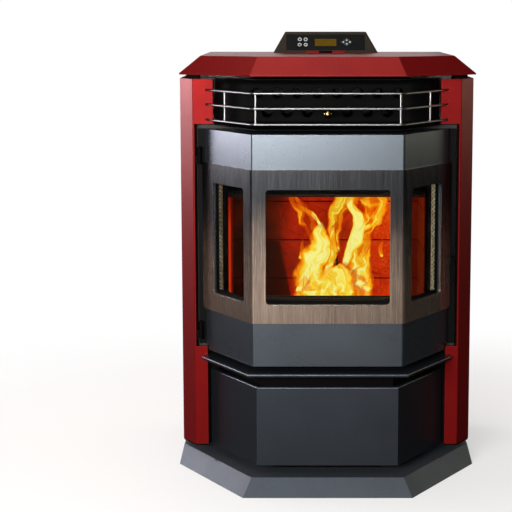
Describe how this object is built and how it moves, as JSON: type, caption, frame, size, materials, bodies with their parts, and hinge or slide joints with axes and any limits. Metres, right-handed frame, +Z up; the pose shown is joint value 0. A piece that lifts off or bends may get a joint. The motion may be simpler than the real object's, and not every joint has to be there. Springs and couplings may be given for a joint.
{
  "type": "pellet stove",
  "caption": "Pellet stove with a bay front: windowed hinged door, ash drawer, barred warm air outlet, hopper lid, control console, feed auger and blowers.",
  "frame": {"origin": "on the floor under the middle of the whole stove", "axes": "+Z up, +X to the right seen from the front, +Y to the back"},
  "size_m": [0.626, 0.64, 0.914],
  "materials": {
    "red_paint": "metallic gloss",
    "dark_paint": "satin powder coat",
    "black_sheet": "matt black heat paint",
    "zinc_sheet": "zinc plated",
    "brushed_plate": "upright brushed grain",
    "window_glass": "clear heat-proof",
    "seal_rope": "braided fibre rope",
    "firebox_steel": "heat dulled",
    "fire_brick": "rough",
    "cast_grey": "rough cast",
    "bright_steel": "bright",
    "knob_steel": "polished",
    "console_plastic": "fine texture",
    "faceplate_film": "gloss film",
    "display_amber": "lit",
    "board_green": "lacquered",
    "key_plastic": "gloss",
    "inlet_plastic": "matt",
    "rocker_plastic": "gloss",
    "motor_paint": "semi-gloss",
    "screw_brass": "plated"
  },
  "bodies": {
    "root": {"air_intake_pipe": "zinc_sheet", "auger_motor": "motor_paint", "auger_tube": "firebox_steel", "baffle_plate": "firebox_steel", "base_pan": "black_sheet", "blower_motors": "motor_paint", "burn_pot": "cast_grey", "burn_pot_support": "cast_grey", "chassis_sides": "zinc_sheet", "console_display": "display_amber", "console_faceplate": "faceplate_film", "console_housing": "console_plastic", "control_board": "board_green", "door_hinge_brackets": "black_sheet", "drawer_runners": "zinc_sheet", "exhaust_housing": "firebox_steel", "firebox_body": "firebox_steel", "firebox_frame": "firebox_steel", "firebricks": "fire_brick", "flue_stub": "zinc_sheet", "hearth_shelf": "dark_paint", "heat_exchanger": "firebox_steel", "hopper": "zinc_sheet", "igniter": "bright_steel", "left_side_panel": "red_paint", "lid_hinge_bracket": "black_sheet", "lower_front_frame": "black_sheet", "outlet_duct": "black_sheet", "outlet_grille": "bright_steel", "plinth": "dark_paint", "power_inlet": "inlet_plastic", "rear_panel": "zinc_sheet", "right_side_panel": "red_paint", "room_fan_housing": "zinc_sheet", "screws": "screw_brass", "top_cover": "red_paint", "top_deck": "black_sheet", "vacuum_switch": "inlet_plastic"},
    "door": {"door_shell": "dark_paint", "door_trim_plate": "brushed_plate", "door_glass": "window_glass", "glass_frames": "black_sheet", "door_seals": "seal_rope", "door_fittings": "black_sheet"},
    "latch": {"latch_lever": "black_sheet"},
    "drawer": {"drawer_front": "dark_paint", "drawer_tray": "zinc_sheet", "ash_pan": "zinc_sheet"},
    "lid": {"hopper_lid": "red_paint"},
    "scraper": {"scraper_rod": "bright_steel", "scraper_knob": "knob_steel"},
    "auger": {"auger_screw": "bright_steel"},
    "impeller": {"exhaust_impeller": "bright_steel"},
    "fan_wheel": {"room_fan_wheel": "bright_steel"},
    "key_1": {"round_key_1": "key_plastic"},
    "key_2": {"round_key_2": "key_plastic"},
    "key_3": {"round_key_3": "key_plastic"},
    "key_4": {"round_key_4": "key_plastic"},
    "pad": {"four_way_pad": "key_plastic"},
    "rocker": {"mains_rocker": "rocker_plastic"}
  },
  "joints": [
    {"name": "door_hinge", "type": "hinge", "parent": "root", "child": "door", "pos_m": [-0.262, -0.114, 0.3], "axis": [0, 0, -1], "range_deg": [0, 110]},
    {"name": "latch_pivot", "type": "hinge", "parent": "door", "child": "latch", "pos_m": [0.263, -0.106, 0.45], "axis": [-1, 0, 0], "range_deg": [0, 60]},
    {"name": "drawer_slide", "type": "slide", "parent": "root", "child": "drawer", "axis": [0, -1, 0], "range_m": [0, 0.3]},
    {"name": "lid_hinge", "type": "hinge", "parent": "root", "child": "lid", "pos_m": [0, 0.109, 0.87135], "axis": [-1, 0, 0], "range_deg": [0, 80]},
    {"name": "scraper_slide", "type": "slide", "parent": "root", "child": "scraper", "axis": [0, -1, 0], "range_m": [0, 0.09]},
    {"name": "auger_spin", "type": "hinge", "parent": "root", "child": "auger", "pos_m": [0, 0.14, 0.415], "axis": [0, 1, 0], "continuous": true},
    {"name": "impeller_spin", "type": "hinge", "parent": "root", "child": "impeller", "pos_m": [-0.12, 0.17, 0.15], "axis": [0, 1, 0], "continuous": true},
    {"name": "fan_spin", "type": "hinge", "parent": "root", "child": "fan_wheel", "pos_m": [0.11, 0.192, 0.134], "axis": [1, 0, 0], "continuous": true},
    {"name": "key_1_press", "type": "slide", "parent": "root", "child": "key_1", "axis": [0, 0.8742, -0.4856], "range_m": [0, 0.001], "stiffness_N_per_m": 300},
    {"name": "key_2_press", "type": "slide", "parent": "root", "child": "key_2", "axis": [0, 0.8742, -0.4856], "range_m": [0, 0.001], "stiffness_N_per_m": 300},
    {"name": "key_3_press", "type": "slide", "parent": "root", "child": "key_3", "axis": [0, 0.8742, -0.4856], "range_m": [0, 0.001], "stiffness_N_per_m": 300},
    {"name": "key_4_press", "type": "slide", "parent": "root", "child": "key_4", "axis": [0, 0.8742, -0.4856], "range_m": [0, 0.001], "stiffness_N_per_m": 300},
    {"name": "pad_press", "type": "slide", "parent": "root", "child": "pad", "axis": [0, 0.8742, -0.4856], "range_m": [0, 0.001], "stiffness_N_per_m": 300},
    {"name": "rocker_tilt", "type": "hinge", "parent": "root", "child": "rocker", "pos_m": [0.215, 0.271, 0.16], "axis": [1, 0, 0], "range_deg": [-6, 6]}
  ]
}
